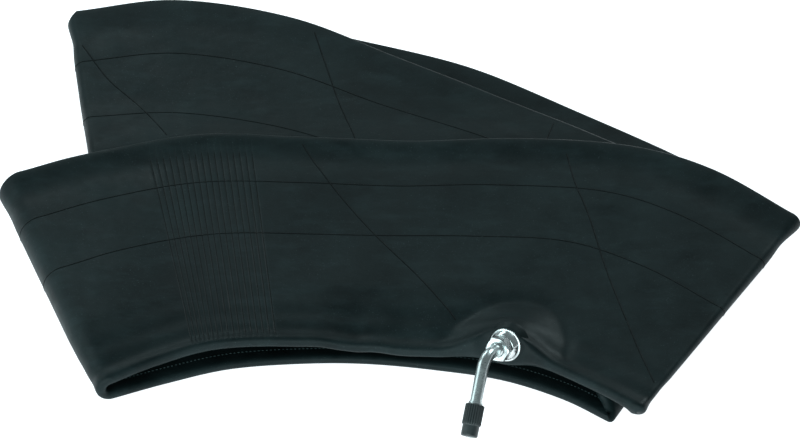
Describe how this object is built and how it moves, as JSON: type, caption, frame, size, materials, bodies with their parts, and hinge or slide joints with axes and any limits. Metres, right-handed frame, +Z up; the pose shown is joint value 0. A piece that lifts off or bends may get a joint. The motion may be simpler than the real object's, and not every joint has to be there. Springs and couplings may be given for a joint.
{
  "type": "inner tube",
  "caption": "Deflated motorcycle inner tube, folded flat, with a bent metal valve, washer, nut and screw cap.",
  "frame": {"origin": "centre of the bounding box's base, on the surface that the folded tube lies on", "axes": "+X along the folded bundle, +Y from the rim side with the valve towards the tread side, +Z up"},
  "size_m": [0.4564, 0.3662, 0.0396],
  "materials": {
    "tube_rubber": "matt moulded butyl rubber, faint dust",
    "patch_rubber": "satin moulded rubber",
    "valve_nickel": "bright nickel plate",
    "washer_nickel": "bright nickel plate",
    "cap_plastic": "ribbed moulded plastic",
    "plate_brass": "turned",
    "core_brass": "turned",
    "seal_rubber": "matt",
    "spring_steel": "drawn wire"
  },
  "bodies": {
    "tube": {"tube_body": "tube_rubber", "valve_patch": "patch_rubber", "base_plate": "plate_brass", "valve_stem": "valve_nickel", "core_housing": "core_brass", "core_barrel": "core_brass", "core_barrel_seal": "seal_rubber", "core_spring": "spring_steel"},
    "washer": {"rim_washer": "washer_nickel"},
    "nut": {"rim_nut": "valve_nickel"},
    "cap_carrier": {"cap_seal": "seal_rubber"},
    "cap": {"valve_cap": "cap_plastic"},
    "core_plunger": {"core_pin": "core_brass", "core_cup": "core_brass", "core_cup_seal": "seal_rubber"}
  },
  "joints": [
    {"name": "nut_travel", "type": "slide", "parent": "tube", "child": "washer", "axis": [-0.4352, -0.8004, 0.4122], "range_m": [0, 0.00635]},
    {"name": "nut_turn", "type": "hinge", "parent": "washer", "child": "nut", "pos_m": [0.06028, -0.12485, 0.027], "axis": [-0.4352, -0.8004, 0.4122], "range_deg": [0, 2880.1]},
    {"name": "cap_travel", "type": "slide", "parent": "tube", "child": "cap_carrier", "axis": [-0.1952, -0.7347, -0.6497], "range_m": [0, 0.00635]},
    {"name": "cap_turn", "type": "hinge", "parent": "cap_carrier", "child": "cap", "pos_m": [0.04019, -0.1777, 0.01073], "axis": [-0.1952, -0.7347, -0.6497], "range_deg": [0, 2880.1]},
    {"name": "core_pin_press", "type": "slide", "parent": "tube", "child": "core_plunger", "axis": [0.1952, 0.7347, 0.6497], "range_m": [0, 0.0012], "stiffness_N_per_m": 1200, "springref_m": -0.001, "deforming": ["core_spring"]}
  ],
  "couplings": [
    {"joint": "nut_turn", "follows": "nut_travel", "rad_per_m": 7915.8},
    {"joint": "cap_turn", "follows": "cap_travel", "rad_per_m": 7915.8}
  ]
}
